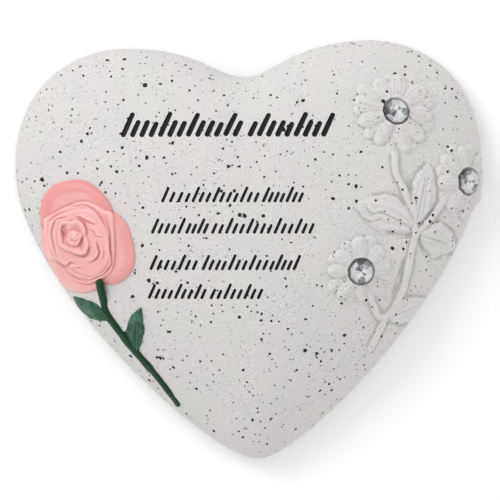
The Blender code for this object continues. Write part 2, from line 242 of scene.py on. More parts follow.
# The engraved strokes: their depth, width, body height and pitch, and for each row the place where
# its base line starts and its groups as percentages of the width.
title_cut = (0.0007, 0.00205, 0.0072, 0.0036)
line_cut = (0.0005, 0.00118, 0.0044, 0.0026)
stroke_slant = math.radians(24)
row_tilt = math.radians(-2)
stroke_rows = (
    (title_cut, (-27.6, 28.5), ((-26.6, -2.8), (0.4, 16.0))),
    (line_cut, (-18.8, 12.5), ((-18.6, -15.2), (-13.6, 1.0), (2.8, 6.5), (7.8, 10.4))),
    (line_cut, (-21.2, 5.1), ((-21.0, -15.4), (-13.7, -10.0), (-8.2, 12.4))),
    (line_cut, (-21.9, -3.6), ((-21.6, -12.6), (-10.5, -7.7), (-6.4, 3.8), (5.0, 8.8))),
    (line_cut, (-22.6, -10.5), ((-22.2, -11.0), (-9.0, 1.0))),
)
stroke_lengths = (1.45, 1.0, 1.0, 0.9, 1.5, 1.0, 0.95)
stroke_taper = 0.12
cutter_rise = 0.002
cutter_sides = 20
cutter_rings = 14

# The specks, from the finest to the coarsest: each is the size of the cells that hold one at most,
# its radius, the share of the cells that has one, a shift that sets it apart, and its strength.
speck_kinds = (
    (0.0017, 0.00032, 0.60, 0.031, 0.55),
    (0.0024, 0.00046, 0.85, 0.077, 0.90),
    (0.0032, 0.00066, 0.85, 0.013, 1.0),
    (0.0048, 0.00090, 0.60, 0.057, 1.0),
    (0.0088, 0.00115, 0.40, 0.091, 1.0),
)
# The specks thin out towards the upper right: from the first place to the second along that
# slant, their number falls from the third value to the fourth.
thinning = (-0.04, 0.06, 1.15, 0.68)

# The meshes' fineness.
outline_steps = 48
dome_rings = 80
foot_steps = 6
daisy_spokes = 560
daisy_rings = 84
patch_pitch = 0.00030
rose_green_pitch = 0.00021
rose_pitch = 0.00018
# The patches that relief is made on, as boxes in percentages of the heart. The rose's own is in
# percentages of its height, from its middle.
daisy_green_patch = ((16.0, -29.0), (46.8, 24.5))
rose_green_patch = ((-40.5, -38.5), (-15.0, -4.0))
rose_patch = ((-34, -53), (57, 55))
# A relief's faces deeper under the surface than this aren't kept, and its bare ground lies at
# the second height.
hidden_depth = 0.0003
buried = -0.0012
# How far relief stays from the floor and the box's right side, and over what distance it is eased
# back from that side.
box_margin = 0.00015
box_ease = 0.0014

# The camera looks straight down, turned as the photograph is.
photo_pixels = 500
metre_per_pixel = 0.0003863
camera_distance = 3.0
camera_turn = math.radians(-2)
camera_lens = 150.0
camera_offset = (-0.0005, 0.0006)

# The room's brightness, and the lights: each is its place, its power and its diameter.
room_light = 0.93
lights = {
    "key": ((-1.0, 1.05, 1.15), 13.0, 1.2),
    "fill": ((1.5, 0.0, 0.9), 1.8, 1.2),
}
floor_reach = 3.0


def outline_shares(steps):
    """The heart's outline from its notch round by the right, as shares of half its size."""
    right = []
    for (_, knot, leave), (arrive, following, _) in zip(heart_knots, heart_knots[1:]):
        ends = [Vector(point).to_3d() for point in (knot, leave, arrive, following)]
        right += [point.to_2d() for point in interpolate_bezier(*ends, steps + 1)[:-1]]
    tip = Vector(heart_knots[-1][1])
    left = [Vector((-point.x, point.y)) for point in reversed(right[1:])]
    return np.array(right + [tip] + left)


fine_spokes = outline_shares(200) - ring_centre
spoke_turns = np.arctan2(fine_spokes[:, 1], fine_spokes[:, 0])
spoke_reach = np.hypot(fine_spokes[:, 0], fine_spokes[:, 1])


def ring_share(x, y):
    """How far out a place lies: 0 at the dome's top and 1 on the outline."""
    across = x / (heart_width / 2) - ring_centre[0]
    up = y / (heart_length / 2) - ring_centre[1]
    distance = np.hypot(across, up)
    reach = np.interp(np.arctan2(up, across), spoke_turns, spoke_reach, period=2 * math.pi)
    share = distance / reach
    for _ in range(12):
        miss = share * (inner_radius + share**2 * (reach - inner_radius)) - distance
        slope = inner_radius + 3 * share**2 * (reach - inner_radius)
        share = np.clip(share - miss / slope, 0.0, 1.3)
    return share


def dome_height(x, y):
    """How high the heart's face stands over a flat place."""
    share = ring_share(x, y)
    rise = heart_thickness - side_wall
    return side_wall + rise * np.sqrt(np.maximum(0.0, 1 - share**dome_power))


def inside_measure(points):
    """Under 0 inside the heart, 0 on its surface and over 0 outside."""
    share = ring_share(points[..., 0], points[..., 1])
    level = np.maximum(0.0, points[..., 2] - side_wall) / (heart_thickness - side_wall)
    return level**2 + share**dome_power - 1


def surface_normal(points):
    step = 5e-5
    parts = []
    for axis in range(3):
        shift = np.zeros(3)
        shift[axis] = step
        parts.append(inside_measure(points + shift) - inside_measure(points - shift))
    normal = np.stack(parts, axis=-1)
    return normal / np.linalg.norm(normal, axis=-1, keepdims=True)


def face_place(place):
    """A place on the face, from percentages to metres."""
    return np.array((place[0] / 100 * heart_width, place[1] / 100 * heart_length))


def frame_on(flat):
    """The surface point at a flat place, and unit vectors across, up and out of the face there."""
    point = np.array((flat[0], flat[1], dome_height(flat[0], flat[1])))
    out = surface_normal(point)
    across = np.array((1.0, 0.0, 0.0)) - out * out[0]
    across /= np.linalg.norm(across)
    return point, across, np.cross(out, across), out


def lay_on_surface(frame_axes, x, y, height):
    """Points of a flat drawing in a frame, dropped onto the surface and raised off it."""
    point, across, up, out = frame_axes
    flat = point + x[..., None] * across + y[..., None] * up
    above = np.full(x.shape, -0.004)
    under = np.full(x.shape, 0.030)
    for _ in range(40):
        middle = (above + under) / 2
        outside = inside_measure(flat - middle[..., None] * out) > 0
        above = np.where(outside, middle, above)
        under = np.where(outside, under, middle)
    hit = flat - above[..., None] * out
    return hit + surface_normal(hit) * height[..., None]


def soft_max(a, b, softness):
    """The larger of two heights, with a rounded join between them."""
    return 0.5 * (a + b + np.sqrt((a - b) ** 2 + softness**2))


def smooth_step(low, high, value):
    share = np.clip((value - low) / (high - low), 0.0, 1.0)
    return share * share * (3 - 2 * share)


def mesh_object(name, points, faces, material, smooth=True):
    mesh = bpy.data.meshes.new(name)
    mesh.from_pydata([tuple(point) for point in points], [], faces)
    mesh.update()
    if smooth:
        mesh.shade_smooth()
    obj = bpy.data.objects.new(name, mesh)
    bpy.context.scene.collection.objects.link(obj)
    mesh.materials.append(material)
    return obj


def below_around(heights, wrap, spread=28, full=0.00026):
    """How far each point of a relief lies below its surroundings, from -1 to 1."""
    blurred = heights.copy()
    for _ in range(spread):
        if wrap:
            beside = np.roll(blurred, 1, axis=1) + np.roll(blurred, -1, axis=1)
        else:
            padded = np.pad(blurred, ((0, 0), (1, 1)), mode="edge")
            beside = padded[:, :-2] + padded[:, 2:]
        padded = np.pad(blurred, ((1, 1), (0, 0)), mode="edge")
        blurred = (beside + padded[:-2] + padded[2:]) / 4
    return np.clip((blurred - heights) / full, -1.0, 1.0)


def sheet_object(name, points, heights, material, tones_and_painted_shade=None, wrap=False):
    """A grid of points as a mesh, without what lies hidden under the surface."""
    rows, columns = heights.shape
    index = np.arange(rows * columns).reshape(rows, columns)
    after = np.roll(index, -1, axis=1)
    last = columns if wrap else columns - 1
    corners = (index[:-1, :last], after[:-1, :last], after[1:, :last], index[1:, :last])
    shown = np.zeros(corners[0].shape, bool)
    flat_heights = heights.ravel()
    for corner in corners:
        shown |= flat_heights[corner] > -hidden_depth
    faces = np.stack([corner[shown] for corner in corners], axis=-1)
    used, renumbered = np.unique(faces, return_inverse=True)
    faces = renumbered.reshape(faces.shape)
    obj = mesh_object(name, points.reshape(-1, 3)[used], faces.tolist(), material)
    below = below_around(np.maximum(heights, -hidden_depth), wrap)
    # The hollow layer darkens hollows as painted shade, and the crest layer lightens crests as painted
    # highlight.
    layers = {"hollow": np.maximum(below, 0), "crest": np.maximum(-below, 0)}
    if tones_and_painted_shade is not None:
        layers["tone_and_painted_shade"] = tones_and_painted_shade
    for layer, values in layers.items():
        attribute = obj.data.attributes.new(layer, "FLOAT", "POINT")
        attribute.data.foreach_set("value", values.ravel()[used].astype(np.float32))
    return obj


def smooth_path(places, steps=14, closed=False):
    """Points along a smooth curve through a row of points."""
    knots = [np.array(place, float) for place in places]
    if closed:
        knots = [knots[-1]] + knots + knots[:2]
    else:
        knots = [2 * knots[0] - knots[1]] + knots + [2 * knots[-1] - knots[-2]]
    path = []
    for a, b, c, d in zip(knots, knots[1:], knots[2:], knots[3:]):
        for i in range(steps):
            t = i / steps
            path.append(
                0.5 * (2 * b + (c - a) * t + (2 * a - 5 * b + 4 * c - d) * t**2
                       + (3 * b - a - 3 * c + d) * t**3)
            )
    if not closed:
        path.append(knots[-2])
    return np.array(path)


def path_distance(path, x, y):
    """Each point's signed distance from a path and its share of the way along it."""
    best = np.full(x.shape, 1.0)
    side = np.zeros(x.shape)
    along = np.zeros(x.shape)
    lengths = np.linalg.norm(np.diff(path, axis=0), axis=1)
    travelled = np.concatenate([[0.0], np.cumsum(lengths)])
    for i, (start, end) in enumerate(zip(path, path[1:])):
        run = (end - start) / lengths[i]
        dx, dy = x - start[0], y - start[1]
        reach = np.clip(dx * run[0] + dy * run[1], 0.0, lengths[i])
        gap = np.hypot(dx - reach * run[0], dy - reach * run[1])
        nearer = gap < best
        best = np.where(nearer, gap, best)
        side = np.where(nearer, np.sign(run[0] * dy - run[1] * dx), side)
        along = np.where(nearer, (travelled[i] + reach) / travelled[-1], along)
    return best * side, along


def depth_inside(outline, x, y):
    """How far each point lies inside a closed outline, negative outside it."""
    closed = np.vstack([outline, outline[:1]])
    side, _ = path_distance(closed, x, y)
    inside = np.zeros(x.shape, bool)
    for start, end in zip(closed, closed[1:]):
        crosses = (start[1] > y) != (end[1] > y)
        rise = end[1] - start[1]
        if rise:
            reach = start[0] + (y - start[1]) * (end[0] - start[0]) / rise
            inside ^= crosses & (x < reach)
    return np.where(inside, np.abs(side), -np.abs(side))


def face_path(places):
    """A smooth path through places on the face."""
    return smooth_path([face_place(place) for place in places])


def stem_heights(places, diameter, x, y, tip_taper=0.0):
    """A round stem's heights, with fine lengthwise edges as if modelled by hand."""
    radius = diameter / 2
    side, along = path_distance(face_path(places), x, y)
    wobble = 1 + 0.06 * np.sin(along * 31) + 0.04 * np.sin(along * 57 + 1)
    reach = radius * wobble * (1 - tip_taper * smooth_step(0.55, 1.0, along))
    gap = np.abs(side)
    round_top = np.sqrt(np.maximum(0.0, reach**2 - gap**2)) - stem_sink
    facets = stem_facet * np.cos(side / radius * 6.5 + 3 * np.sin(along * 9))
    slope = -stem_sink - 2.0 * (gap - reach)
    return np.where(gap < reach, round_top + facets, slope), along


def leaf_heights(base, bow, tip, width, x, y, streaks, round_tip=0.75):
    """A crowned leaf with a midrib and fine streaks along it, over its base and outside it."""
    base, bow, tip = (face_place(place) for place in (base, bow, tip))
    t = np.linspace(0, 1, 40)[:, None]
    path = base * (1 - t) ** 2 + bow * 2 * t * (1 - t) + tip * t**2
    side, along = path_distance(path, x, y)
    wave = 1 + 0.05 * np.sin(along * 17 + np.sign(side)) + 0.03 * np.sin(along * 33)
    half = width / 2 * wave * np.sin(math.pi * along**0.9) ** round_tip + 1e-5
    gap = np.abs(side)
    share = np.clip(gap / half, 0, 1)
    crown = leaf_edge + (leaf_top - leaf_edge) * (1 - share**2.4) * np.sin(math.pi * along) ** 0.4
    groove = midrib_depth * np.exp(-((side / midrib_half_width) ** 2)) * (1 - along**3)
    phase = side / half * streaks * math.pi + 1.1 * np.sin(along * 7 + 0.6)
    ripple = leaf_streak * np.cos(phase) * (1 - share**4) * np.clip(share * 3, 0, 1)
    end = np.where((along <= 0) | (along >= 1), gap, np.maximum(0.0, gap - half))
    return np.where(gap < half, crown - groove + ripple, leaf_edge - 2.6 * end)


def petal_heights(turn, radius, width, edge, top, along_x, along_y):
    """One daisy petal over a flat place: crowned, pleated along, blunt at its end."""
    root = gem_diameter / 2 * petal_root_share
    along = along_x * math.cos(turn) + along_y * math.sin(turn)
    side = along_y * math.cos(turn) - along_x * math.sin(turn)
    share = (along - root) / (radius - root)
    opening = 0.42 + 0.62 * smooth_step(-0.1, 0.70, share)
    closing = np.sqrt(1 - np.clip((share - 0.52) / 0.48, 0, 1) ** 2.2)
    half = width / 2 * opening * closing + 1e-6
    spread = side / half
    edge = edge * (1 - 0.55 * smooth_step(0.45, 1.0, share))
    fall = 1 - 0.30 * np.clip(share, 0, 1)
    crown = edge + (top - edge) * fall * (1 - np.clip(np.abs(spread), 0, 1) ** 2.4)
    crown -= (crown - edge) * smooth_step(0.86, 1.0, share) * 0.8
    fade = smooth_step(0.1, 0.35, share) * (1 - smooth_step(0.8, 1.0, share))
    pleats = np.zeros(crown.shape)
    for place, slim, depth in petal_pleats:
        pleats += depth * np.exp(-(((spread - place) / slim) ** 2))
    past = np.maximum(np.abs(side) - half, (share - 1) * (radius - root))
    inside = (np.abs(spread) < 1) & (share > -0.3) & (share < 1)
    heights = np.where(inside, crown - pleats * fade, edge - 2.2 * np.maximum(past, 0))
    return np.where(share > -0.3, heights, buried)


def keep_in_box(points):
    """Points eased back within the CAD model's box on the right, and kept above the floor."""
    limit = cad_high.x - box_margin
    past = np.maximum(0.0, points[..., 0] - (limit - box_ease))
    eased = limit - box_ease + box_ease * (1 - np.exp(-past / box_ease))
    points[..., 0] = np.where(past > 0, eased, points[..., 0])
    points[..., 2] = np.maximum(points[..., 2], box_margin)
    return points


def daisy_object(name, place, radius, petals, width, material):
    """Two layers of petals round the gem's seat, on a round grid laid on the heart."""
    turns = np.linspace(0, 2 * math.pi, daisy_spokes, endpoint=False)
    reaches = np.linspace(0.0002, radius * 1.06 + 0.0010, daisy_rings)
    reach, turn = np.meshgrid(reaches, turns, indexing="ij")
    x, y = reach * np.cos(turn), reach * np.sin(turn)
    pitch = 2 * math.pi / petals
    heights = np.full(x.shape, buried)
    layers = (
        (0.5, 1.0, petal_edge_low, petal_top_low),
        (0.0, upper_layer_reach, petal_edge_high, petal_top_high),
    )
    for offset, share, edge, top in layers:
        for i in range(petals):
            own = i * 2.4 + offset * 5 + radius * 1000
            centre = (i + offset + 0.11 * math.sin(own)) * pitch
            length = radius * share * (1 + 0.055 * math.sin(own * 1.7 + 1))
            breadth = width * (0.98 + 0.12 * math.sin(own * 2.3 + 2))
            lift = 0.00015 * math.sin(own * 3.1)
            petal = petal_heights(centre, length, breadth, edge + lift, top + lift, x, y)
            heights = soft_max(heights, petal, 0.00016)
    seat = gem_diameter / 2 + gem_clearance
    rim = seat_floor + seat_depth
    boss = rim - 3 * np.maximum(0.0, reach - seat - seat_rim)
    heights = np.maximum(heights, boss)
    heights = np.where(reach < seat, seat_floor, np.maximum(heights, buried))
    points = keep_in_box(lay_on_surface(frame_on(face_place(place)), x, y, heights))
    return sheet_object(name, points, heights, material, wrap=True)


def patch_grid(low, high, pitch):
    """A grid of places over a box of the face, given in percentages."""
    low, high = face_place(low), face_place(high)
    xs = np.arange(low[0], high[0], pitch)
    ys = np.arange(low[1], high[1], pitch)
    return np.meshgrid(xs, ys)


def relief_object(name, x, y, heights, material, tones_and_painted_shade=None):
    """Relief raised straight up from the dome, kept within the heart's outline."""
    share = ring_share(x, y)
    pull = np.where(share > 0.998, 0.998 / np.maximum(share, 1e-9), 1.0)
    centre_x = ring_centre[0] * heart_width / 2
    centre_y = ring_centre[1] * heart_length / 2
    x = centre_x + (x - centre_x) * pull
    y = centre_y + (y - centre_y) * pull
    heights = np.where(share > 1.01, buried, np.maximum(heights, buried))
    points = keep_in_box(np.stack([x, y, dome_height(x, y) + heights], axis=-1))
    return sheet_object(name, points, heights, material, tones_and_painted_shade)


def daisy_greenery(material):
    """The daisies' stems and leaves in one relief, on ground that swells between them."""
    x, y = patch_grid(*daisy_green_patch, patch_pitch)
    forms = np.full(x.shape, buried)
    for leaf, streaks in zip(daisy_leaves, daisy_leaf_streaks):
        forms = np.maximum(forms, leaf_heights(*leaf, x, y, streaks))
    for fold in leaf_folds:
        side, along = path_distance(face_path(fold), x, y)
        ends = np.sin(math.pi * along) ** 0.5
        forms -= leaf_fold_crease * np.exp(-((side / 0.0004) ** 2)) * ends
        forms += leaf_fold_rim * np.exp(-(((side - 0.0010) / 0.0007) ** 2)) * ends
    nearest = np.full(x.shape, 1.0)
    for places in daisy_stems:
        nearest = np.minimum(nearest, np.abs(path_distance(face_path(places), x, y)[0]))
    ground = ground_swell * np.exp(-((nearest / ground_reach) ** 2)) - 0.00015
    ground *= smooth_step(1.0, 0.93, ring_share(x, y))
    heights = ground + np.maximum(0.0, soft_max(forms, np.full(x.shape, -0.0002), 0.0003))
    for places in channels:
        side, along = path_distance(face_path(places), x, y)
        cut = channel_depth * np.exp(-((side / channel_half_width) ** 4))
        heights -= cut * np.sin(math.pi * np.clip(along, 0.02, 0.98)) ** 0.4
    for places in daisy_stems:
        stem, _ = stem_heights(places, stem_diameter, x, y)
        heights = soft_max(heights, ground * 0.6 + stem, 0.0002)
    return relief_object("daisy_stems_and_leaves", x, y, heights, material)


def rose_greenery(material):
    """The rose's stem and its two leaves. The stem's top climbs over the rose."""
    x, y = patch_grid(*rose_green_patch, rose_green_pitch)
    heights = np.full(x.shape, buried)
    for leaf in rose_leaves:
        heights = np.maximum(heights, leaf_heights(*leaf, x, y, rose_leaf_streaks, round_tip=0.85))
    stem, along = stem_heights(rose_stem, rose_stem_diameter, x, y, 0.25)
    climb = stem_climb * (1 - smooth_step(0.02, stem_climb_share, along))
    stem = np.where(stem > -hidden_depth, stem + climb, stem)
    tones_and_painted_shade = (stem > heights).astype(float)
    heights = soft_max(heights, stem, 0.0001)
    return relief_object("rose_stem_and_leaves", x, y, heights, material, tones_and_painted_shade)


def fold_heights(rise, drop, path, x, y):
    """A petal's rim that stands over the crease beside it and fades out at both ends."""
    side, along = path_distance(path, x, y)
    over = smooth_step(-fold_softness, fold_softness, -side)
    crest = rise * np.exp(-np.maximum(-side, 0) / fold_crest)
    crease = drop * np.exp(-np.maximum(side, 0) / fold_crease)
    return np.sin(math.pi * along) ** 0.6 * (over * crest - (1 - over) * crease)


def rose_heights(x, y):
    """The rose's heights, and where painted shade deepens the outer petals' rims: cupped petals with
    rounded rims.
    """
    unit = rose_height / 100
    middle = face_place(rose_place)
    heights = np.full(x.shape, buried)
    tones_and_painted_shade = np.zeros(x.shape)
    for step, roll, cup, outline in rose_petals:
        knots = [middle + np.array(point) * unit for point in outline]
        depth = depth_inside(smooth_path(knots, 6, closed=True), x, y)
        rim = rose_rim + step * rose_step
        outermost = step < 0.5
        drop = rim + hidden_depth if outermost else rose_inner_drop
        rounded = np.sqrt(1 - (1 - np.clip(depth / roll, 0, 1)) ** 2)
        hollow = cup * smooth_step(roll * 0.6, roll + 0.0040, depth)
        petal = rim - drop * (1 - rounded) - hollow
        petal = np.where(depth > 0, petal, rim - drop + 4.0 * depth)
        heights = soft_max(heights, petal, 0.0002)
        # Painted shade: the outer petals' rims turn a deeper pink where they fall away to the edge.
        own_rim_shade = max(0.0, 1 - 8 * step) if outermost else 0.0
        rim_shade = own_rim_shade * (1 - smooth_step(*rim_shade_band, depth))
        tones_and_painted_shade = np.where(depth > 0, rim_shade, tones_and_painted_shade)
    for rise, drop, path in rose_folds:
        path = smooth_path([middle + np.array(point) * unit for point in path])
        heights += fold_heights(rise, drop, path, x, y)
    pit = middle + np.array(rose_hollow) * unit
    across = (x - pit[0]) / hollow_width
    up = (y - pit[1]) / hollow_height
    heights -= hollow_depth * np.exp(-(across**2) - up**2)
    return heights, tones_and_painted_shade


def rose_object(material):
    """The whole rose as one relief."""
    unit = rose_height / 100
    middle = face_place(rose_place)
    low, high = rose_patch
    xs = np.arange(low[0] * unit, high[0] * unit, rose_pitch) + middle[0]
    ys = np.arange(low[1] * unit, high[1] * unit, rose_pitch) + middle[1]
    x, y = np.meshgrid(xs, ys)
    heights, tones_and_painted_shade = rose_heights(x, y)
    return relief_object("rose", x, y, heights, material, tones_and_painted_shade)


def stroke_list():
    """Each stroke's foot, length, width and depth."""
    strokes = []
    for (depth, width, body, pitch), start, groups in stroke_rows:
        taken = 0
        for first, last in groups:
            span = (last - first) / 100 * heart_width
            count = max(2, round(span / pitch) + 1)
            for i in range(count):
                length = body * stroke_lengths[taken % len(stroke_lengths)]
                taken += 1
                run = (first - start[0]) / 100 * heart_width + span * i / (count - 1)
                foot = face_place(start) + np.array((run, run * math.tan(row_tilt)))
                strokes.append((foot, length, width, depth))
    return strokes


def stroke_cutter(material):
    """One mesh of all strokes: slim grains with round ends, sunk in the surface."""
    bm = bmesh.new()
    lean = row_tilt - stroke_slant
    heading = np.array((-math.sin(lean), math.cos(lean)))
    for foot, length, width, depth in stroke_list():
        point, across, up, out = frame_on(foot + heading * length / 2)
        grain = bmesh.ops.create_uvsphere(
            bm, u_segments=cutter_sides, v_segments=cutter_rings, radius=1
        )
        for vert in grain["verts"]:
            end, side, level = vert.co.z, vert.co.x, vert.co.y
            straight = 0.0 if abs(end) < 1e-4 else math.copysign((length - width) / 2, end)
            along = end * width / 2 + straight
            side *= width / 2 * (1 - stroke_taper * along / length)
            height = level * depth if level < 0 else level * cutter_rise
            x = side * math.cos(lean) - along * math.sin(lean)
            y = side * math.sin(lean) + along * math.cos(lean)
            vert.co = Vector(point + across * x + up * y + out * height)
    bmesh.ops.recalc_face_normals(bm, faces=bm.faces)
    mesh = bpy.data.meshes.new("stroke_cutter")
    bm.to_mesh(mesh)
    bm.free()
    mesh.materials.append(material)
    cutter = bpy.data.objects.new("stroke_cutter", mesh)
    bpy.context.scene.collection.objects.link(cutter)
    return cutter


def in_fixed_order(mesh):
    """The same mesh with its corners and faces sorted by place, as a Boolean's order varies."""
    places = [tuple(vert.co) for vert in mesh.vertices]
    order = sorted(range(len(places)), key=places.__getitem__)
    rank = {old: new for new, old in enumerate(order)}
    faces = [([rank[i] for i in face.vertices], face.material_index) for face in mesh.polygons]
    faces.sort(key=lambda face: sorted(face[0]))
    ordered = bpy.data.meshes.new(mesh.name)
    ordered.from_pydata([places[i] for i in order], [], [corners for corners, _ in faces])
    for material in mesh.materials:
        ordered.materials.append(material)
    ordered.polygons.foreach_set("material_index", [slot for _, slot in faces])
    ordered.update()
    return ordered


def heart_object(material, paint):
    """The heart itself, cut by the strokes, with paint in the cuts."""
    outline = outline_shares(outline_steps)
    spokes = outline - ring_centre
    reach = np.linalg.norm(spokes, axis=1, keepdims=True)
    half = np.array((heart_width / 2, heart_length / 2))
    rings = []
    for i in range(1, dome_rings + 1):
        share = math.sin(math.pi / 2 * i / dome_rings)
        radius = inner_radius + share**2 * (reach - inner_radius)
        flat = (ring_centre + spokes / reach * radius * share) * half
        height = side_wall + (heart_thickness - side_wall) * math.sqrt(
            max(0.0, 1 - share**dome_power)
        )
        rings.append(np.column_stack([flat, np.full(len(flat), height)]))
    for i in range(foot_steps + 1):
        turn = math.pi / 2 * i / foot_steps
        inset = 1 - foot_round * (1 - math.cos(turn)) / half[0]
        height = foot_round * (1 - math.sin(turn))
        rings.append(np.column_stack([outline * half * inset, np.full(len(outline), height)]))
    top = np.array((*(np.array(ring_centre) * half), heart_thickness))
    count = len(outline)
    points = np.vstack([top[None]] + rings)
    faces = [(0, 1 + i, 1 + (i + 1) % count) for i in range(count)]
    for ring in range(len(rings) - 1):
        start = 1 + ring * count
        for i in range(count):
            after = (i + 1) % count
            faces.append((start + i, start + count + i, start + count + after, start + after))
    start = 1 + (len(rings) - 1) * count
    faces.append([start + i for i in reversed(range(count))])
    heart = mesh_object("heart_casting", points, faces, material)
    bm = bmesh.new()
    bm.from_mesh(heart.data)
    bmesh.ops.recalc_face_normals(bm, faces=bm.faces)
    bm.to_mesh(heart.data)
    bm.free()
    cutter = stroke_cutter(paint)
    cut = heart.modifiers.new("strokes", "BOOLEAN")
    cut.operation = "DIFFERENCE"
    cut.object = cutter
    cut.solver = "EXACT"
    cut.material_mode = "TRANSFER"
    bpy.context.view_layer.update()
    evaluated = heart.evaluated_get(bpy.context.evaluated_depsgraph_get())
    mesh = in_fixed_order(bpy.data.meshes.new_from_object(evaluated))
    heart.modifiers.clear()
    heart.data = mesh
    bpy.data.objects.remove(cutter, do_unlink=True)
    mesh.shade_smooth()
    mesh.set_sharp_from_angle(angle=math.radians(32))
    return heart


class Nodes:
    """Short calls to build a material's nodes."""

    def __init__(self, name):
        self.material = bpy.data.materials.new(name)
        self.material.use_nodes = True
        self.tree = self.material.node_tree
        self.shader = self.tree.nodes["Principled BSDF"]
        self.place = self.add("ShaderNodeTexCoord").outputs["Object"]

    def add(self, kind, **settings):
        node = self.tree.nodes.new(kind)
        for key, value in settings.items():
            setattr(node, key, value)
        return node

    def link(self, source, target):
        self.tree.links.new(source, target)

    def set(self, **values):
        for key, value in values.items():
            self.shader.inputs[key.replace("_", " ")].default_value = value

    def attribute(self, name):
        return self.add("ShaderNodeAttribute", attribute_name=name).outputs["Fac"]

    def noise(self, scale, detail=3.0, roughness=0.5, shift=0.0):
        place = self.place
        if shift:
            move = self.add("ShaderNodeVectorMath", operation="ADD")
            move.inputs[1].default_value = (shift, shift * 1.7, -shift)
            self.link(place, move.inputs[0])
            place = move.outputs[0]
        node = self.add("ShaderNodeTexNoise")
        node.inputs["Scale"].default_value = scale
        node.inputs["Detail"].default_value = detail
        node.inputs["Roughness"].default_value = roughness
        self.link(place, node.inputs["Vector"])
        return node.outputs["Fac"]

    def range(self, value, low, high, to_low=0.0, to_high=1.0, smooth=True):
        node = self.add("ShaderNodeMapRange")
        node.interpolation_type = "SMOOTHSTEP" if smooth else "LINEAR"
        self.link(value, node.inputs["Value"])
        node.inputs["From Min"].default_value = low
        node.inputs["From Max"].default_value = high
        node.inputs["To Min"].default_value = to_low
        node.inputs["To Max"].default_value = to_high
        return node.outputs["Result"]

    def math(self, operation, a, b):
        node = self.add("ShaderNodeMath", operation=operation)
        for value, socket in zip((a, b), node.inputs):
            if isinstance(value, (int, float)):
                socket.default_value = value
            else:
                self.link(value, socket)
        return node.outputs[0]

    def mix(self, factor, a, b):
        node = self.add("ShaderNodeMix", data_type="RGBA")
        for value, socket in ((factor, node.inputs[0]), (a, node.inputs[6]), (b, node.inputs[7])):
            if isinstance(value, tuple):
                socket.default_value = (*value, 1.0)
            elif isinstance(value, (int, float)):
                socket.default_value = value
            else:
                self.link(value, socket)
        return node.outputs[2]

    def bump(self, height, strength, distance):
        node = self.add("ShaderNodeBump")
        node.inputs["Strength"].default_value = strength
        node.inputs["Distance"].default_value = distance
        self.link(height, node.inputs["Height"])
        self.link(node.outputs["Normal"], self.shader.inputs["Normal"])

    def thinned(self):
        """How densely the specks lie, which falls towards the upper right."""
        axes = self.add("ShaderNodeSeparateXYZ")
        self.link(self.place, axes.inputs[0])
        slant = self.math("ADD", axes.outputs["X"], self.math("MULTIPLY", axes.outputs["Y"], 0.5))
        return self.range(slant, *thinning)

    def specks(self, cell, size, share, shift, thinned):
        """1 inside scattered uneven dots, 0 elsewhere. About this share of the cells has one."""
        jitter = self.add("ShaderNodeTexNoise")
        jitter.inputs["Scale"].default_value = 1.1 / size
        self.link(self.place, jitter.inputs["Vector"])
        swing = self.add("ShaderNodeVectorMath", operation="MULTIPLY_ADD")
        self.link(jitter.outputs["Color"], swing.inputs[0])
        swing.inputs[1].default_value = (size * 1.3,) * 3
        swing.inputs[2].default_value = (shift, shift, shift)
        moved = self.add("ShaderNodeVectorMath", operation="ADD")
        self.link(self.place, moved.inputs[0])
        self.link(swing.outputs[0], moved.inputs[1])
        cells = self.add("ShaderNodeTexVoronoi")
        cells.inputs["Scale"].default_value = 1 / cell
        self.link(moved.outputs[0], cells.inputs["Vector"])
        split = self.add("ShaderNodeSeparateColor")
        self.link(cells.outputs["Color"], split.inputs["Color"])
        crowded = self.range(self.noise(34, 2, 0.5, shift * 9), 0.36, 0.66, 0.35, 1.6)
        crowded = self.math("MULTIPLY", crowded, thinned)
        kept = self.math("LESS_THAN", split.outputs["Red"], self.math("MULTIPLY", crowded, share))
        own_size = self.range(split.outputs["Green"], 0.0, 1.0, 0.45 * size / cell, size / cell, False)
        inside = self.math("SUBTRACT", own_size, cells.outputs["Distance"])
        edge = self.range(inside, 0.0, 0.16 * size / cell)
        return self.math("MULTIPLY", edge, kept)


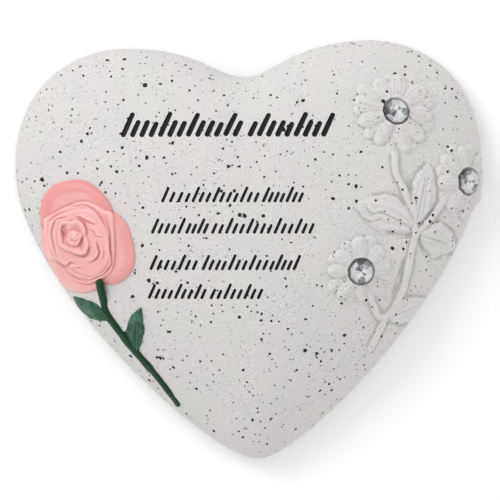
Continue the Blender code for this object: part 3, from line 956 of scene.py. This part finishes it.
def resin_material():
    """Pale cast resin with grain, faint tints, scattered specks of paint, painted highlight on crests
    and painted shade in hollows.
    """
    nodes = Nodes("speckled_resin")
    warm = nodes.range(nodes.noise(38, 2, 0.5), 0.38, 0.68)
    colour = nodes.mix(warm, (0.615, 0.600, 0.585), (0.625, 0.585, 0.590))
    green = nodes.range(nodes.noise(44, 2, 0.5, 3.1), 0.45, 0.75, 0.0, 0.8)
    colour = nodes.mix(green, colour, (0.585, 0.605, 0.565))
    lilac = nodes.range(nodes.noise(50, 2, 0.5, 7.7), 0.48, 0.78, 0.0, 0.7)
    colour = nodes.mix(lilac, colour, (0.58, 0.57, 0.61))
    mottle = nodes.range(nodes.noise(800, 5, 0.7, 1.3), 0.42, 0.72, 0.0, 0.22)
    colour = nodes.mix(mottle, colour, (0.40, 0.38, 0.37))
    sandy = nodes.range(nodes.noise(62, 3, 0.6, 2.2), 0.44, 0.62)
    dark_grains = nodes.range(nodes.noise(1900, 2, 0.5, 4.1), 0.55, 0.70, 0.0, 0.60)
    colour = nodes.mix(nodes.math("MULTIPLY", dark_grains, sandy), colour, (0.25, 0.24, 0.23))
    pale_grains = nodes.range(nodes.noise(1700, 2, 0.5, 5.3), 0.55, 0.70, 0.0, 0.85)
    colour = nodes.mix(nodes.math("MULTIPLY", pale_grains, sandy), colour, (0.80, 0.79, 0.775))
    # Painted highlight: the relief's crests are lighter.
    crest = nodes.range(nodes.attribute("crest"), 0.1, 1.0, 0.0, 0.5)
    colour = nodes.mix(crest, colour, (0.67, 0.66, 0.645))
    # Painted shade: the relief's hollows are darker.
    hollow = nodes.range(nodes.attribute("hollow"), 0.05, 1.0, 0.0, 0.5)
    colour = nodes.mix(hollow, colour, (0.28, 0.275, 0.245))
    thinned = nodes.thinned()
    for cell, size, share, shift, strength in speck_kinds:
        dots = nodes.math("MULTIPLY", nodes.specks(cell, size, share, shift, thinned), strength)
        colour = nodes.mix(dots, colour, (0.010, 0.009, 0.010))
    nodes.link(colour, nodes.shader.inputs["Base Color"])
    nodes.set(Roughness=0.6, Specular_IOR_Level=0.3)
    coarse = nodes.math("MULTIPLY", nodes.noise(520, 3, 0.6), 1.6)
    grain = nodes.math("ADD", nodes.noise(1300, 4, 0.65), coarse)
    nodes.bump(grain, 0.8, 0.0003)
    return nodes.material


def rose_material():
    """Satin salmon paint, with painted highlight on crests and painted shade in hollows and on the
    outer petals' rims.
    """
    nodes = Nodes("rose_paint")
    brushed = nodes.range(nodes.noise(110, 3), 0.35, 0.7)
    colour = nodes.mix(brushed, (0.755, 0.355, 0.340), (0.785, 0.395, 0.380))
    # Painted highlight: crests are lighter.
    light = nodes.range(nodes.attribute("crest"), 0.0, 1.0, 0.0, 0.8)
    colour = nodes.mix(light, colour, (0.810, 0.455, 0.440))
    # Painted shade: the outer petals' rims are a deeper pink.
    rim_shade = nodes.range(nodes.attribute("tone_and_painted_shade"), 0.0, 1.0, 0.0, 0.9)
    colour = nodes.mix(rim_shade, colour, (0.680, 0.262, 0.252))
    # Painted shade: hollows are darker.
    painted_shade = nodes.range(nodes.attribute("hollow"), 0.0, 1.0, 0.0, 0.72)
    colour = nodes.mix(painted_shade, colour, (0.54, 0.185, 0.185))
    nodes.link(colour, nodes.shader.inputs["Base Color"])
    nodes.set(Roughness=0.42, Specular_IOR_Level=0.4)
    nodes.bump(nodes.noise(600, 4, 0.6), 0.35, 0.0003)
    return nodes.material


def leaf_material():
    """Satin dark green paint, brushed unevenly, darkest on the stem, with painted shade in hollows."""
    nodes = Nodes("leaf_paint")
    uneven = nodes.range(nodes.noise(260, 4, 0.6), 0.35, 0.68)
    colour = nodes.mix(uneven, (0.016, 0.062, 0.034), (0.062, 0.155, 0.096))
    stem = nodes.range(nodes.attribute("tone_and_painted_shade"), 0.0, 1.0, 0.0, 0.9)
    colour = nodes.mix(stem, colour, (0.002, 0.030, 0.008))
    # Painted shade: hollows are darker.
    painted_shade = nodes.range(nodes.attribute("hollow"), 0.0, 1.0, 0.0, 0.8)
    colour = nodes.mix(painted_shade, colour, (0.006, 0.020, 0.012))
    nodes.link(colour, nodes.shader.inputs["Base Color"])
    nodes.set(Roughness=0.45, Specular_IOR_Level=0.15)
    nodes.bump(nodes.noise(900, 3, 0.6), 0.4, 0.0003)
    return nodes.material


def stroke_material():
    """Black paint in the strokes, a little worn."""
    nodes = Nodes("stroke_paint")
    worn = nodes.range(nodes.noise(900, 4, 0.7), 0.5, 0.75, 0.0, 0.6)
    colour = nodes.mix(worn, (0.006, 0.005, 0.005), (0.022, 0.02, 0.02))
    nodes.link(colour, nodes.shader.inputs["Base Color"])
    nodes.set(Roughness=0.5, Specular_IOR_Level=0.2)
    nodes.bump(nodes.noise(1500, 3, 0.6), 0.3, 0.0002)
    return nodes.material


def gem_material():
    """Clear glass."""
    nodes = Nodes("gem_glass")
    nodes.set(Base_Color=(0.97, 0.98, 0.99, 1.0), Roughness=0.0, Transmission_Weight=1.0, IOR=1.5)
    return nodes.material


def foil_material():
    """Silver foil behind a gem, with a painted reflection on each facet, from dark to white."""
    nodes = Nodes("gem_foil")
    colour = nodes.mix(nodes.attribute("painted_reflection"), (0.09, 0.09, 0.11), (0.99, 0.99, 1.0))
    nodes.link(colour, nodes.shader.inputs["Base Color"])
    nodes.set(Metallic=0.0, Roughness=0.3)
    return nodes.material


def foil_object(name, place, turned, material):
    """The silvered facets in a gem's back: a shallow cup just inside the glass."""
    point, across, up, out = frame_on(face_place(place))
    base = seat_floor + gem_clearance
    radius = gem_diameter / 2 * foil_reach
    count = len(foil_painted_reflections)
    points = [point + out * (base + foil_middle)]
    for share, height in foil_rings:
        for i in range(count):
            turn = 2 * math.pi * (i - 0.5) / count
            flat = across * math.cos(turn) + up * math.sin(turn)
            points.append(point + flat * radius * share + out * (base + height))
    faces = [(0, 1 + i, 1 + (i + 1) % count) for i in range(count)]
    for i in range(count):
        after = (i + 1) % count
        faces.append((1 + i, 1 + count + i, 1 + count + after, 1 + after))
    foil = mesh_object(name, points, faces, material, smooth=False)
    painted_reflection = foil.data.attributes.new("painted_reflection", "FLOAT", "FACE")
    for i, face in enumerate(painted_reflection.data):
        ring, sector = divmod(i, count)
        # Each facet's painted reflection, turned one sector further for each gem and each ring.
        face.value = foil_painted_reflections[(sector + turned + ring) % count]
    return foil


def add_light(name, place, power, diameter):
    """A round soft light that points at the origin."""
    light = bpy.data.lights.new(name, "AREA")
    light.energy = power
    light.shape = "DISK"
    light.size = diameter
    obj = bpy.data.objects.new(name, light)
    obj.location = place
    obj.rotation_euler = (-Vector(place)).to_track_quat("-Z", "Y").to_euler()
    bpy.context.scene.collection.objects.link(obj)


def add_camera():
    """A long lens high over the face, framed as the photograph is."""
    camera = bpy.data.cameras.new("camera")
    camera.lens = camera_lens
    span = photo_pixels * metre_per_pixel
    camera.sensor_width = span / (camera_distance - side_wall) * camera_lens
    camera.clip_start = 0.01
    obj = bpy.data.objects.new("camera", camera)
    obj.location = (*camera_offset, camera_distance)
    obj.rotation_euler = (0.0, 0.0, camera_turn)
    bpy.context.scene.collection.objects.link(obj)
    bpy.context.scene.camera = obj


def add_studio():
    """A pale floor, a bright even room, a soft light from the upper left and a weak one right."""
    floor_nodes = Nodes("floor")
    pale = floor_nodes.mix(floor_nodes.noise(4), (0.94, 0.94, 0.94), (0.95, 0.95, 0.95))
    floor_nodes.link(pale, floor_nodes.shader.inputs["Base Color"])
    floor_nodes.set(Roughness=0.9, Specular_IOR_Level=0.1)
    reach = floor_reach
    corners = [(-reach, -reach, 0), (reach, -reach, 0), (reach, reach, 0), (-reach, reach, 0)]
    floor = mesh_object("floor", corners, [(0, 1, 2, 3)], floor_nodes.material)
    world = bpy.data.worlds.new("world")
    world.use_nodes = True
    background = world.node_tree.nodes["Background"]
    background.inputs["Color"].default_value = (1.0, 1.0, 1.0, 1.0)
    background.inputs["Strength"].default_value = room_light
    bpy.context.scene.world = world
    for name, light in lights.items():
        add_light(name, *light)
    bpy.context.scene.view_settings.view_transform = "Standard"


resin = resin_material()
stroke_paint = stroke_material()
heart = heart_object(resin, stroke_paint)
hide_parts("heart_stone")
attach(heart, "root")

for daisy_name, daisy in daisies.items():
    flower = daisy_object(f"daisy_{daisy_name}", *daisy, resin)
    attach(flower, "root")

greenery = daisy_greenery(resin)
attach(greenery, "root")

rose = rose_object(rose_material())
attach(rose, "root")

rose_green = rose_greenery(leaf_material())
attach(rose_green, "root")

glass = gem_material()
foil = foil_material()
for turned, (daisy_name, daisy) in enumerate(daisies.items()):
    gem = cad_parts[f"gem_{daisy_name}"]
    gem.data.materials.clear()
    gem.data.materials.append(glass)
    backing = foil_object(f"gem_{daisy_name}_foil", daisy[0], turned, foil)
    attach(backing, "root")

add_camera()
add_studio()
